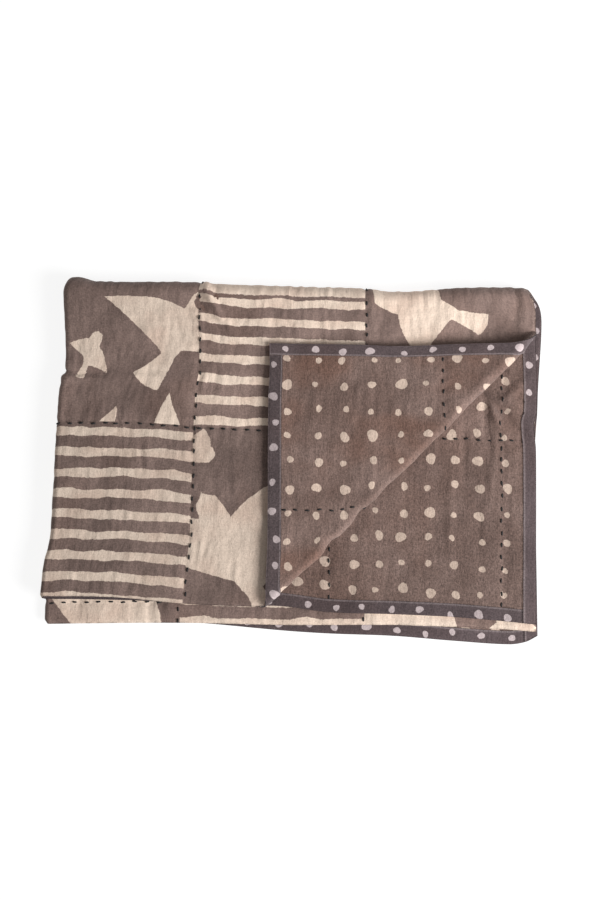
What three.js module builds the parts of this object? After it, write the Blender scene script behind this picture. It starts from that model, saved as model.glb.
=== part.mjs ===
// A patchwork baby quilt, folded in four with one corner of its upper layer turned back.
// The quilt is 965 x 678 mm laid flat. It is folded first across, with its backing inside, about
// the line on the left, and then lengthwise about the line at the back, so that four layers lie
// on each other: patchwork up, backing up, patchwork up, backing up. Both near corners of the
// right-hand side are real corners of the quilt, and that of the upper layer is folded over.
// Units are millimetres, +Z is up, +X is to the right and +Y to the back. The origin is the
// middle of the footprint, on the surface that the quilt lies on.
import * as THREE from 'three';

const { clamp, lerp, smoothstep } = THREE.MathUtils;

// The flat quilt. S runs across it from the first fold, and T along it from the second fold.
const HALF_ACROSS = 482.5;
const FRONT_LENGTH = 328;
const BACK_LENGTH = 350;
const TOP_FACE = 1.6;
const TOP_BACK = -0.4;
const BACKING_FACE = -1.8;
const BACKING_BACK = -0.8;
const BINDING_FACE = -2.9;
const BINDING_BACK = -2.1;
const BINDING_WIDTH = 13;

// The seams between the patches, where the running stitch draws the quilt in.
const SEAMS_ACROSS = [308.5, 138, -273, -446];
const SEAMS_ALONG = [150, -324];
const SEAM_DEPTH = 0.7;
const SEAM_REACH = 6;
const EDGE_PINCH = 0.4;

// The folds. A fold's radius is that of the middle of the cloth.
const FIRST_RADIUS = 3.75;
const SECOND_RADIUS = 6.35;
const OUTER_RADIUS = SECOND_RADIUS + FIRST_RADIUS;
const FIRST_QUARTER = (Math.PI / 2) * FIRST_RADIUS;
const SECOND_QUARTER = (Math.PI / 2) * SECOND_RADIUS;
const MIDDLE_HEIGHT = OUTER_RADIUS + TOP_FACE;
const STACK_ACROSS = FIRST_RADIUS + HALF_ACROSS - FIRST_QUARTER;
const FRONT_ALONG = OUTER_RADIUS + FRONT_LENGTH - SECOND_QUARTER;
const BACK_ALONG = OUTER_RADIUS + BACK_LENGTH - SECOND_QUARTER;

// The turned-back corner: its legs along the two edges, and a roll that opens towards the back.
const FRONT_LEG = 278;
const END_LEG = 284;
const CREASE = Math.hypot(FRONT_LEG, END_LEG);
const TO_RIGHT = END_LEG / CREASE;
const TO_FRONT = FRONT_LEG / CREASE;
const CREASE_OFF = (FRONT_LEG * END_LEG) / CREASE;
const CREASE_MIDDLE = (END_LEG ** 2 - FRONT_LEG ** 2) / (2 * CREASE);
const ROLL_RADIUS = 5.3;
const ROLL_OPENING = 1.7;
const FLAP_REST = 4.6;
const FLAP_SETTLE = 60;

// How the stack lies: its width on the surface, and how far each outline drifts from straight.
// share is the way along that side, from the back for the sides and from the left for the ends.
const LIE_WIDTH = 470.5;
const LEFT_REACH = [0.05, 0.62];
const BACK_REACH = 0.35;
const UNEVEN_LAY = 0.075;
const UNEVEN_REACH = [0.1, 0.7];
const LEFT_OUTLINE = [
  { share: 0.0, upper: 8, lower: 8 },
  { share: 0.04, upper: 1, lower: 1.5 },
  { share: 0.1, upper: 0, lower: 1 },
  { share: 0.28, upper: 1, lower: 1 },
  { share: 0.36, upper: -5, lower: -4 },
  { share: 0.66, upper: -11, lower: -10 },
  { share: 0.82, upper: -14.5, lower: -15 },
  { share: 0.9, upper: -20.5, lower: -20 },
  { share: 1.0, upper: -25, lower: -21.5 },
];
const RIGHT_OUTLINE = [
  { share: 0.0, first: -8, second: -8, third: -4, fourth: -2 },
  { share: 0.05, first: -1, second: -1, third: 1, fourth: 6.5 },
  { share: 0.11, first: 0, second: 0, third: 1, fourth: 8 },
  { share: 0.3, first: 0, second: 1.5, third: 1, fourth: 4.5 },
  { share: 0.38, first: 0, second: 1.5, third: 1, fourth: 3.5 },
  { share: 0.41, first: 0, second: -1, third: 0, fourth: 2 },
  { share: 0.5, first: 0, second: 1, third: 0, fourth: 1.5 },
  { share: 1.0, first: 0, second: 1, third: 2, fourth: 4 },
];
const BACK_OUTLINE = [
  { share: 0.0, drift: 0 },
  { share: 0.03, drift: -2.5 },
  { share: 0.08, drift: 1.5 },
  { share: 0.27, drift: 1.5 },
  { share: 0.35, drift: 4 },
  { share: 0.63, drift: 8 },
  { share: 0.69, drift: 11 },
  { share: 0.75, drift: 10.5 },
  { share: 0.84, drift: 7.5 },
  { share: 0.97, drift: 7 },
  { share: 1.0, drift: 9.5 },
];
const FRONT_OUTLINE = [
  { share: 0.0, first: 315, second: 318, third: 344, fourth: 338 },
  { share: 0.15, first: 316, second: 319, third: 343, fourth: 340 },
  { share: 0.3, first: 323, second: 322, third: 343, fourth: 343 },
  { share: 0.47, first: 326, second: 325.5, third: 345, fourth: 351 },
  { share: 0.56, first: 325, second: 331.5, third: 345, fourth: 354 },
  { share: 0.7, first: 325, second: 333.5, third: 345, fourth: 356.5 },
  { share: 0.83, first: 325, second: 336.5, third: 345.5, fourth: 361.5 },
  { share: 0.94, first: 325, second: 341, third: 347, fourth: 365.5 },
  { share: 1.0, first: 325, second: 344, third: 350, fourth: 357.5 },
];

// Soft swells and hollows of the whole stack, felt most in the upper layer.
const SWELLS = [
  { x: 14, y: -8, long: 26, wide: 16, turn: 60, height: 2.4 },
  { x: 12, y: -96, long: 40, wide: 12, turn: 5, height: -1.6 },
  { x: 150, y: -25, long: 34, wide: 14, turn: 62, height: 1.6 },
  { x: 70, y: -210, long: 90, wide: 46, turn: 0, height: 1.2 },
  { x: 165, y: -230, long: 40, wide: 80, turn: 0, height: 1.3 },
  { x: 395, y: -35, long: 60, wide: 26, turn: 0, height: 1.8 },
  { x: 428, y: -250, long: 22, wide: 90, turn: 4, height: 1.2 },
];

const COLOURS = {
  patchwork: { color: 0x9a8a7c, roughness: 0.95, metalness: 0 },
  backing: { color: 0x75665c, roughness: 0.95, metalness: 0 },
  binding: { color: 0x565059, roughness: 0.95, metalness: 0 },
};

// The smooth curve through a table's column, at a share of the way along.
function outline(table, column, share) {
  const last = table.length - 1;
  let row = 0;
  while (row < last - 1 && share > table[row + 1].share) row += 1;
  const slope = (k) => {
    const a = table[Math.max(k - 1, 0)];
    const b = table[Math.min(k + 1, last)];
    return (b[column] - a[column]) / (b.share - a.share);
  };
  const from = table[row];
  const to = table[row + 1];
  const span = to.share - from.share;
  const k = clamp((share - from.share) / span, 0, 1);
  const rise = k * k * (3 - 2 * k);
  const leave = k * (1 - k) * (1 - k) * span * slope(row);
  const arrive = k * k * (k - 1) * span * slope(row + 1);
  return lerp(from[column], to[column], rise) + leave + arrive;
}

// The first fold: a point of the flat quilt on the section of two layers joined by a half round.
function firstFold(s) {
  if (Math.abs(s) >= FIRST_QUARTER) {
    return { x: FIRST_RADIUS + Math.abs(s) - FIRST_QUARTER, rise: Math.sign(s) * FIRST_RADIUS };
  }
  const angle = s / FIRST_RADIUS;
  return { x: FIRST_RADIUS * (1 - Math.cos(angle)), rise: FIRST_RADIUS * Math.sin(angle) };
}

// The second fold: the pair of layers bends round the back, so that its front half lies on top.
function secondFold(t, rise) {
  const radius = SECOND_RADIUS + rise;
  const angle = clamp(t / SECOND_RADIUS, -Math.PI / 2, Math.PI / 2);
  const flat = Math.max(Math.abs(t) - SECOND_QUARTER, 0);
  const y = radius * Math.cos(angle) - OUTER_RADIUS - flat;
  return { y, z: MIDDLE_HEIGHT + radius * Math.sin(angle), under: (1 - Math.sin(angle)) / 2 };
}

// A point beside the turned-back corner's crease: how far beyond it, and how far along it.
function fromCrease(fromRight, fromFront) {
  return {
    beyond: CREASE_OFF - TO_RIGHT * fromRight - TO_FRONT * fromFront,
    along: TO_RIGHT * fromFront - TO_FRONT * fromRight,
  };
}

// The radius of the corner's roll, by the place along its crease.
function rollRadius(along) {
  return ROLL_RADIUS + (2 * ROLL_OPENING * (along - CREASE_MIDDLE)) / CREASE;
}

// The third fold: cloth beyond the crease rolls up and back over the layer that it belongs to.
function turnCorner(fromRight, fromFront) {
  const { beyond, along } = fromCrease(fromRight, fromFront);
  if (beyond <= 0) return { fromRight, fromFront, lift: 0 };
  const radius = rollRadius(along);
  const angle = Math.min(beyond / radius, Math.PI);
  const past = Math.max(beyond - Math.PI * radius, 0);
  const off = CREASE_OFF - radius * Math.sin(angle) + past;
  const settled = past > 0 ? (2 * radius - FLAP_REST) * (1 - Math.exp(-past / FLAP_SETTLE)) : 0;
  return {
    fromRight: TO_RIGHT * off - TO_FRONT * along,
    fromFront: TO_FRONT * off + TO_RIGHT * along,
    lift: radius * (1 - Math.cos(angle)) - settled,
  };
}

// The height of the swells at a point of the footprint.
function swell(x, y) {
  let height = 0;
  for (const bump of SWELLS) {
    const turn = THREE.MathUtils.degToRad(bump.turn);
    const dx = x - bump.x;
    const dy = y - bump.y;
    const long = (dx * Math.cos(turn) + dy * Math.sin(turn)) / bump.long;
    const wide = (dy * Math.cos(turn) - dx * Math.sin(turn)) / bump.wide;
    height += bump.height * Math.exp(-long * long - wide * wide);
  }
  return height;
}

// The middle of the cloth at a point of the flat quilt, folded and lying as the quilt does.
function middle(s, t, target) {
  const across = firstFold(s);
  const folded = secondFold(t, across.rise);
  let { x } = across;
  let { y, z } = folded;
  const along = lerp(FRONT_ALONG, BACK_ALONG, folded.under);
  if (s > 0 && t > 0) {
    const corner = turnCorner(STACK_ACROSS - x, y + FRONT_ALONG);
    x = STACK_ACROSS - corner.fromRight;
    y = corner.fromFront - FRONT_ALONG;
    z += corner.lift;
  }
  const inner = (FIRST_RADIUS - across.rise) / (2 * FIRST_RADIUS);
  const a = x / STACK_ACROSS;
  const b = -y / along;
  const layered = (table, share) => {
    const over = lerp(outline(table, 'first', share), outline(table, 'second', share), inner);
    const below = lerp(outline(table, 'fourth', share), outline(table, 'third', share), inner);
    return lerp(over, below, folded.under);
  };
  const upper = outline(LEFT_OUTLINE, 'upper', b);
  const lower = outline(LEFT_OUTLINE, 'lower', b);
  const left = lerp(upper, lower, folded.under) * (1 - smoothstep(a, ...LEFT_REACH));
  const right = layered(RIGHT_OUTLINE, b) * smoothstep(a, 0.8, 1);
  const back = outline(BACK_OUTLINE, 'drift', a) * (1 - smoothstep(b, 0, BACK_REACH));
  const uneven = UNEVEN_LAY * (1 - smoothstep(a, ...UNEVEN_REACH));
  const front = b * (1 - uneven * (1 - b)) * layered(FRONT_OUTLINE, a);
  const planX = LIE_WIDTH * a + left + right;
  const planY = -back - front;
  const felt = Math.max(z - TOP_FACE, 0) / (2 * OUTER_RADIUS);
  return target.set(planX, planY, z + felt * swell(planX, planY));
}

// A point at a height off the middle of the cloth, positive on the patchwork side.
const nudge = 0.05;
const sides = [0, 1, 2, 3, 4].map(() => new THREE.Vector3());
function cloth(s, t, height) {
  const [centre, east, west, north, south] = sides;
  middle(s, t, centre);
  middle(s + nudge, t, east);
  middle(s - nudge, t, west);
  middle(s, t + nudge, north);
  middle(s, t - nudge, south);
  const normal = north.sub(south).cross(east.sub(west)).normalize();
  return new THREE.Vector3().copy(centre).addScaledVector(normal, height);
}

// How far the quilting draws a face in: 1 on a seam, 0 away from it.
function drawnIn(s, t) {
  const near = (distance) => Math.max(1 - Math.abs(distance) / SEAM_REACH, 0);
  const seams = SEAMS_ACROSS.map((seam) => near(s - seam));
  seams.push(...SEAMS_ALONG.map((seam) => near(t - seam)));
  return Math.max(...seams);
}

// 0 where the patchwork lies on the surface below, which keeps it flat, and 1 elsewhere.
function offFloor(s, t) {
  if (t > -SECOND_QUARTER) return 1;
  return 1 - smoothstep(s, -FIRST_QUARTER, FIRST_QUARTER);
}

function topFace(s, t) {
  const edge = Math.min(HALF_ACROSS - Math.abs(s), FRONT_LENGTH - t, BACK_LENGTH + t);
  const pinch = EDGE_PINCH * Math.max(1 - edge / BINDING_WIDTH, 0);
  return TOP_FACE - (SEAM_DEPTH * drawnIn(s, t) + pinch) * offFloor(s, t);
}

function backingFace(s, t) {
  return BACKING_FACE + SEAM_DEPTH * 0.6 * drawnIn(s, t);
}

// Lines from a to b in equal steps of about the given length.
function steps(a, b, step) {
  const count = Math.max(1, Math.round((b - a) / step));
  return Array.from({ length: count + 1 }, (_, k) => lerp(a, b, k / count));
}

// The lines that the quilt's faces are divided by, closer where it folds or is sewn.
function lines(from, to, quarter, bends, seams, extra, step) {
  const fixed = [from, from + BINDING_WIDTH, to - BINDING_WIDTH, to, ...extra];
  for (const seam of seams) fixed.push(seam - SEAM_REACH, seam, seam + SEAM_REACH);
  fixed.push(...steps(-quarter, quarter, (2 * quarter) / bends));
  fixed.sort((p, q) => p - q);
  const all = [];
  for (let k = 0; k + 1 < fixed.length; k += 1) {
    const gap = fixed[k + 1] - fixed[k];
    all.push(...(gap > step ? steps(fixed[k], fixed[k + 1], step).slice(0, -1) : [fixed[k]]));
  }
  all.push(to);
  return all.filter((value, k) => k === 0 || value - all[k - 1] > 1e-6);
}

const ACROSS = lines(-HALF_ACROSS, HALF_ACROSS, FIRST_QUARTER, 6, SEAMS_ACROSS, [-40, -14, 14, 34], 48);
const ALONG = lines(-BACK_LENGTH, FRONT_LENGTH, SECOND_QUARTER, 8, SEAMS_ALONG, [-36, -19, 19, 36, 90, 120], 46);
const ROLL_STEPS = 8;

// Divides a convex polygon of the flat quilt by the line where side(s, t) is zero.
function split(polygon, side) {
  const halves = [[], []];
  polygon.forEach((p, k) => {
    const q = polygon[(k + 1) % polygon.length];
    const a = side(p);
    const b = side(q);
    if (a <= 1e-9) halves[0].push(p);
    if (a >= -1e-9) halves[1].push(p);
    if (a * b < 0 && Math.abs(a) > 1e-9 && Math.abs(b) > 1e-9) {
      const k2 = a / (a - b);
      const cut = [lerp(p[0], q[0], k2), lerp(p[1], q[1], k2)];
      halves[0].push(cut);
      halves[1].push(cut);
    }
  });
  return halves.filter((half) => half.length > 2);
}

// The cells of a rectangle of the flat quilt, divided along the roll of the turned-back corner.
function cells(sFrom, sTo, tFrom, tTo) {
  const within = (all, from, to) => all.filter((v) => v > from + 1e-6 && v < to - 1e-6);
  const columns = [sFrom, ...within(ACROSS, sFrom, sTo), sTo];
  const rows = [tFrom, ...within(ALONG, tFrom, tTo), tTo];
  let polygons = [];
  for (let i = 0; i + 1 < columns.length; i += 1) {
    for (let j = 0; j + 1 < rows.length; j += 1) {
      const [a, b, c, d] = [columns[i], columns[i + 1], rows[j], rows[j + 1]];
      polygons.push([[a, c], [b, c], [b, d], [a, d]]);
    }
  }
  for (let k = 0; k <= ROLL_STEPS; k += 1) {
    const turned = (Math.PI * k) / ROLL_STEPS;
    const side = ([s, t]) => {
      const { beyond, along } = fromCrease(HALF_ACROSS - s, FRONT_LENGTH - t);
      return beyond - turned * rollRadius(along);
    };
    polygons = polygons.flatMap((polygon) => split(polygon, side));
  }
  return polygons;
}

// A closed solid over a rectangle of the flat quilt, between two heights off its middle.
function sheet(rectangle, upper, lower) {
  const keys = new Map();
  const flat = [];
  const index = (point) => {
    const key = point.map((value) => value.toFixed(4)).join(' ');
    if (!keys.has(key)) {
      keys.set(key, flat.length);
      flat.push(point);
    }
    return keys.get(key);
  };
  const faces = [];
  const open = new Map();
  for (const polygon of cells(...rectangle)) {
    const ring = polygon.map(index).filter((v, k, all) => v !== all[(k + 1) % all.length]);
    if (ring.length < 3) continue;
    for (let k = 1; k + 1 < ring.length; k += 1) faces.push([ring[0], ring[k], ring[k + 1]]);
    ring.forEach((v, k) => {
      const w = ring[(k + 1) % ring.length];
      if (!open.delete(w + ' ' + v)) open.set(v + ' ' + w, [v, w]);
    });
  }
  const count = flat.length;
  const triangles = [];
  for (const [a, b, c] of faces) {
    triangles.push(a, c, b);
    triangles.push(a + count, b + count, c + count);
  }
  for (const [v, w] of open.values()) {
    triangles.push(v, w, w + count);
    triangles.push(v, w + count, v + count);
  }
  const points = [
    ...flat.map(([s, t]) => cloth(s, t, upper(s, t))),
    ...flat.map(([s, t]) => cloth(s, t, lower(s, t))),
  ];
  const geometry = new THREE.BufferGeometry().setFromPoints(points);
  geometry.setIndex(triangles);
  geometry.computeVertexNormals();
  return geometry;
}

const quilt = new THREE.Group();
function add(name, geometry, colour) {
  const mesh = new THREE.Mesh(geometry, new THREE.MeshStandardMaterial(COLOURS[colour]));
  mesh.name = name;
  quilt.add(mesh);
}

// The patchwork face and its thin filling, quilted together.
const WHOLE = [-HALF_ACROSS, HALF_ACROSS, -BACK_LENGTH, FRONT_LENGTH];
add('quilt_top', sheet(WHOLE, topFace, () => TOP_BACK), 'patchwork');

// The dotted backing cloth, a little off the patchwork.
add('quilt_backing', sheet(WHOLE, () => BACKING_BACK, backingFace), 'backing');

// The four strips that face the edges on the backing side. The end strips run the full length,
// and the side strips are butted between them.
const BUTT_GAP = 0.4;
const END = HALF_ACROSS - BINDING_WIDTH;
const SIDE = END - BUTT_GAP;
const STRIPS = {
  binding_end_upper: [END, HALF_ACROSS, -BACK_LENGTH, FRONT_LENGTH],
  binding_end_lower: [-HALF_ACROSS, -END, -BACK_LENGTH, FRONT_LENGTH],
  binding_side_front: [-SIDE, SIDE, FRONT_LENGTH - BINDING_WIDTH, FRONT_LENGTH],
  binding_side_back: [-SIDE, SIDE, -BACK_LENGTH, BINDING_WIDTH - BACK_LENGTH],
};
for (const [name, rectangle] of Object.entries(STRIPS)) {
  add(name, sheet(rectangle, () => BINDING_BACK, () => BINDING_FACE), 'binding');
}

// The origin goes to the middle of the footprint.
const footprint = new THREE.Box3().setFromObject(quilt);
const centre = footprint.getCenter(new THREE.Vector3());
for (const mesh of quilt.children) {
  mesh.geometry.translate(-centre.x, -centre.y, -footprint.min.z);
}

export default quilt;
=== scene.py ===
"""A block-printed patchwork quilt, folded in four, with one corner of its upper layer turned back.

The file is laid out as a Blender add-on. Each operator makes one piece or group of like pieces over
the quilt's frame: the patchwork, its dotted backing, the bindings, the running stitches and the
stage. Sizes in the code are millimetres, and a finished mesh is in metres.

Every piece of cloth is worked out in the same three steps. First a grid of the flat quilt, with S
across it from the first fold and T along it from the second fold. Then the folds, which carry a
point of the flat quilt to the middle of the cloth as it lies. Last the thickness, which stands a
face off that middle, along its normal.
"""

import bmesh
import bpy
import numpy as np
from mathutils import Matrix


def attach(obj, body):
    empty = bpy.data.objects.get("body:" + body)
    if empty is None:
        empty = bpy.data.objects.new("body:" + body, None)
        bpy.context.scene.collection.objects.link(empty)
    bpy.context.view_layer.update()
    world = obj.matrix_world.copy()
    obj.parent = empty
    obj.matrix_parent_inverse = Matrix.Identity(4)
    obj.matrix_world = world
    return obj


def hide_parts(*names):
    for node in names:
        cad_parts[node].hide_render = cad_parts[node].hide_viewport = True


bl_info = {
    "name": "Folded Patchwork Quilt",
    "version": (1, 0, 0),
    "blender": (4, 5, 0),
    "location": "View3D > Sidebar > Quilt",
    "description": "A block-printed patchwork quilt, folded in four with a corner turned back",
    "category": "Add Mesh",
}

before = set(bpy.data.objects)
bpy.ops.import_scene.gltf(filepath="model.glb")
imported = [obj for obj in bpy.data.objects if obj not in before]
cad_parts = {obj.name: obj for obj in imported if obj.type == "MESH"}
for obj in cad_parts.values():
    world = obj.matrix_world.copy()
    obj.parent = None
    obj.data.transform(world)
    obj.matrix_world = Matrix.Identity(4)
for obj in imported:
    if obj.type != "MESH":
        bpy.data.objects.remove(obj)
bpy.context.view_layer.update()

# The flat quilt, and the heights of its faces off the middle of the cloth.
HALF_ACROSS = 482.5
FRONT_LENGTH = 328.0
BACK_LENGTH = 350.0
TOP_FACE, TOP_BACK = 1.6, -0.4
BACKING_BACK, BACKING_FACE = -0.8, -1.8
BINDING_BACK, BINDING_FACE = -2.1, -2.9
BINDING_WIDTH = 13.0
BUTT_GAP = 0.4

# The folds, by the radius of the middle of the cloth.
FIRST_RADIUS = 3.75
SECOND_RADIUS = 6.35
OUTER_RADIUS = SECOND_RADIUS + FIRST_RADIUS
FIRST_QUARTER = np.pi / 2 * FIRST_RADIUS
SECOND_QUARTER = np.pi / 2 * SECOND_RADIUS
MIDDLE_HEIGHT = OUTER_RADIUS + TOP_FACE
STACK_ACROSS = FIRST_RADIUS + HALF_ACROSS - FIRST_QUARTER
FRONT_ALONG = OUTER_RADIUS + FRONT_LENGTH - SECOND_QUARTER
BACK_ALONG = OUTER_RADIUS + BACK_LENGTH - SECOND_QUARTER

# The middle of the solids' footprint, where the quilt's frame has its origin.
CENTRE = np.array([226.1, -181.6, 0.0])

# The turned-back corner: its legs along the two edges, and a roll that opens towards the back.
FRONT_LEG, END_LEG = 278.0, 284.0
CREASE = np.hypot(FRONT_LEG, END_LEG)
TO_RIGHT, TO_FRONT = END_LEG / CREASE, FRONT_LEG / CREASE
CREASE_OFF = FRONT_LEG * END_LEG / CREASE
CREASE_MIDDLE = (END_LEG**2 - FRONT_LEG**2) / (2 * CREASE)
ROLL_RADIUS, ROLL_OPENING = 5.3, 1.7
FLAP_REST, FLAP_SETTLE = 4.6, 60.0

# How the stack lies: the drift of each outline, by the share of the way along its side. The layers
# are counted from the top.
LAYERS = ("first", "second", "third", "fourth")
LIE_WIDTH = 470.5
LEFT_REACH = (0.05, 0.62)
RIGHT_REACH = (0.8, 1.0)
BACK_REACH = 0.35
UNEVEN_LAY, UNEVEN_REACH = 0.075, (0.1, 0.7)
LEFT_OUTLINE = {
    "share": (0.0, 0.04, 0.1, 0.28, 0.36, 0.66, 0.82, 0.9, 1.0),
    "upper": (3, -0.5, 0, 1, -5, -11, -14.5, -20.5, -25),
    "lower": (4, 0.5, 1, 1, -4, -10, -15, -20, -21.5),
}
RIGHT_OUTLINE = {
    "share": (0.0, 0.05, 0.11, 0.3, 0.38, 0.41, 0.5, 1.0),
    "first": (-8, -1, 0, 0, 0, 0, 0, 0),
    "second": (-8, -1, 0, 1.5, 1.5, -1, 1, 1),
    "third": (-4, 1, 1, 1, 1, 0, 0, 2),
    "fourth": (-2, 6.5, 8, 4.5, 3.5, 2, 1.5, 4),
}
BACK_OUTLINE = {
    "share": (0.0, 0.02, 0.055, 0.27, 0.35, 0.63, 0.69, 0.75, 0.84, 0.97, 1.0),
    "drift": (-3, -3.5, 0.5, 1.5, 4, 8, 11, 10.5, 7.5, 7, 9.5),
}
FRONT_OUTLINE = {
    "share": (0.0, 0.15, 0.3, 0.47, 0.56, 0.7, 0.83, 0.94, 0.975, 1.0),
    "first": (315, 316, 323, 326, 325, 325, 325, 325, 325, 325),
    "second": (318, 319, 322, 325.5, 331.5, 333.5, 336.5, 341, 342.8, 344),
    "third": (344, 343, 343, 345, 345, 345, 347, 349.5, 351, 352),
    "fourth": (338, 340, 343, 351, 354, 356.5, 361.5, 365, 362.5, 356.5),
}
# Soft swells and hollows: x, y, long, wide, turn in degrees, height.
SWELLS = (
    (14, -8, 26, 16, 60, 2.4),
    (12, -96, 40, 12, 5, -1.6),
    (150, -25, 34, 14, 62, 1.6),
    (70, -210, 90, 46, 0, 1.2),
    (165, -230, 40, 80, 0, 1.3),
    (395, -35, 60, 26, 0, 1.8),
    (428, -250, 22, 90, 4, 1.2),
)
# Where the turned-back layer is pushed aside: x, y, reach, and how far it goes in x and in y.
DENTS = (
    (473, -61, 14, 0.5, 9.5),
    (290, -230, 10, -3.5, 3.5),
    (262, -262, 8, -2, 2.5),
    (380, -142, 16, 1.5, -1),
)
# Small creases that only show: s, t, long, wide, turn in degrees, height.
CREASES = (
    (152, 18, 18, 3.4, 62, 3.2),
    (144, 30, 17, 3.2, 48, -2.6),
    (166, 40, 26, 3.8, 55, 2.6),
    (160, 22, 18, 3.0, 72, -1.8),
    (12, 100, 26, 2.8, 5, -2.8),
    (24, 107, 36, 4.4, 4, 2.4),
    (80, 104, 50, 4.0, 2, 1.4),
    (205, 70, 40, 4.0, 86, 1.4),
    (236, 82, 44, 4.0, 93, 1.3),
    (262, 60, 50, 4.4, 88, -1.2),
    (463, 22, 26, 3.2, 100, -1.2),
    (472, 20, 26, 3.2, 98, 1.0),
    (300, 60, 30, 4.0, 80, 0.6),
    (60, 220, 50, 4.0, 4, 0.5),
    (90, 285, 60, 4.0, 2, 0.5),
    (225, 230, 46, 5.0, 75, 0.7),
    (-436, 116, 22, 3.8, 138, 4.0),
    (-442, 130, 22, 3.6, 118, -3.6),
    (-452, 114, 20, 3.8, 160, -3.5),
    (-432, 136, 26, 3.6, 95, 3.1),
    (-456, 130, 15, 3.6, 130, 1.8),
    (-458, 106, 20, 4.6, 40, -2.2),
    (-410, 170, 34, 4.0, 92, 1.4),
    (-436, 196, 36, 4.0, 84, -1.4),
    (-424, 236, 44, 4.0, 96, 0.8),
    (-396, 226, 40, 4.0, 88, -1.3),
    (-452, 262, 40, 4.0, 90, 1.4),
    (-330, 296, 34, 4.0, 80, 0.7),
    (-360, 250, 50, 5.0, 30, 0.6),
    (-300, 285, 40, 4.0, 70, 0.6),
    (330, 230, 60, 5.0, 88, 0.6),
    (360, 200, 50, 5.0, 92, -0.5),
    (400, 240, 60, 6.0, 84, 0.6),
    (440, 260, 50, 5.0, 95, 0.5),
)

# The seams of the patchwork, by where s or t is held. The seams across end at the one beside the
# second fold and stand elsewhere below it, and the stitches of one start a little further out. In
# the list, a seam has its way, where it is held, and its two ends.
UPPER_ACROSS = (308.5, 138.0, -100.5, -273.5, -449.0)
LOWER_ACROSS = (400.0, 225.0, 50.0, -132.6, -308.0)
ALONG = (152.0, -15.0, -170.0, -331.0)
FOLD_SEAM = ALONG[1]
FURTHER_OUT = {-132.6: 3.5}
SEAMS = [("across", s, FOLD_SEAM, FRONT_LENGTH) for s in UPPER_ACROSS]
SEAMS += [("across", s, -BACK_LENGTH - FURTHER_OUT.get(s, 0), FOLD_SEAM) for s in LOWER_ACROSS]
SEAMS += [("along", t, -HALF_ACROSS, HALF_ACROSS) for t in ALONG]
STITCH_PITCH = 11.7
STITCH_LENGTH = 4.9
STITCH_WIDTH = 1.8
STITCH_ASIDE = 1.5
# How far each stitch is from its even place: along the seam, beside it, and in its direction.
STITCH_STRAY = (0.9, 0.6, 0.2)
# Where a seam's stitches begin and stop from its ends, and how near they come to the quilt's edge,
# and to the edge of the lower layers' front strip.
STITCH_ENDS, STITCH_MARGIN, STRIP_MARGIN = (6, 4), 6, 1
# A stitch's shape: its rise, how far its ends dip from there, how thin they are, how flat it is,
# and the least height of its middle over the floor.
STITCH_RISE, STITCH_DIP, STITCH_TAPER, STITCH_FLATNESS, STITCH_FLOOR = 0.5, 0.75, 0.86, 0.8, 0.75
# The groove that the stitching draws, and the puckers that run out from it: their size, and how
# they sway and vary along the seam.
GROOVE_HALF, GROOVE_DEPTH, GROOVE_BEAT = 2.6, 0.95, 0.25
PUCKER_SEEDS = (40, 60)
# The shares of the groove underneath and on the backing, and of the puckers on the backing.
UNDER_GROOVE, BACKING_GROOVE, BACKING_PUCKER = 0.9, 0.7, 0.8
PUCKER_LENGTH, PUCKER_REACH, PUCKER_HEIGHT = 12.6, 11.0, 0.46
PUCKER_SWAY, SWAY_WAVES = 2.4, (6, 60, 140)
PUCKER_SHARE, SHARE_WAVES = (0.6, 0.4), (5, 40, 120)

# The cloth's unevenness. Each kind has its height and then, as ripples takes them, a seed, the
# number of waves, and the shortest and longest of them.
SOFT_WIDE, SOFT_CLOSE = (0.68, 11, 14, 70, 190), (0.74, 12, 18, 24, 64)
TOP_CRUMPLE, BACKING_CRUMPLE = (0.27, 13, 20, 9, 24), (0.24, 14, 20, 9, 24)
STRIP_CRUMPLE, STRIP_CRUMPLE_FROM = (0.6, 71, 14, 9, 15), (316, 332)
STRIPE_SWAY, STRIPE_UNEVEN = (1.5, 21, 12, 26, 130), (0.8, 22, 8, 18, 80)
# Crinkles: their height on the backing, how much higher they are on the patchwork, how far they
# waver, their waves, the waves by which they come and go, and between which shares of the height.
CRINKLE_HEIGHT, TOP_CRINKLE, CRINKLE_WAVER = 0.34, 1.6, 0.22
CRINKLE_WAVES, CRINKLE_PLACES = (26, 6.5, 18), (8, 40, 110)
CRINKLE_SHARE = (0.55, 0.6, 1.2)
# Their seed and the direction that they vary along, on the backing right and left of the fold.
TOP_CRINKLES, BACKING_CRINKLES = (15, 0), ((17, np.pi / 2), (19, 0))
# How far from a fold the soft unevenness comes back to its full height.
SETTLED = 9.0
# Hems: how far their rounding reaches, how thick the patchwork is at its edge, and how far the
# backing is drawn in there. The binding's inner edge is folded to a ridge.
HEM_REACH, HEM_THICKNESS, BACKING_HEM = 2.4, 0.3, 0.6
RIDGE_AT, RIDGE_HALF, RIDGE_HEIGHT, THIN_EDGE, BINDING_PUCKER = 0.8, 0.7, 0.5, 0.25, 0.5

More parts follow.
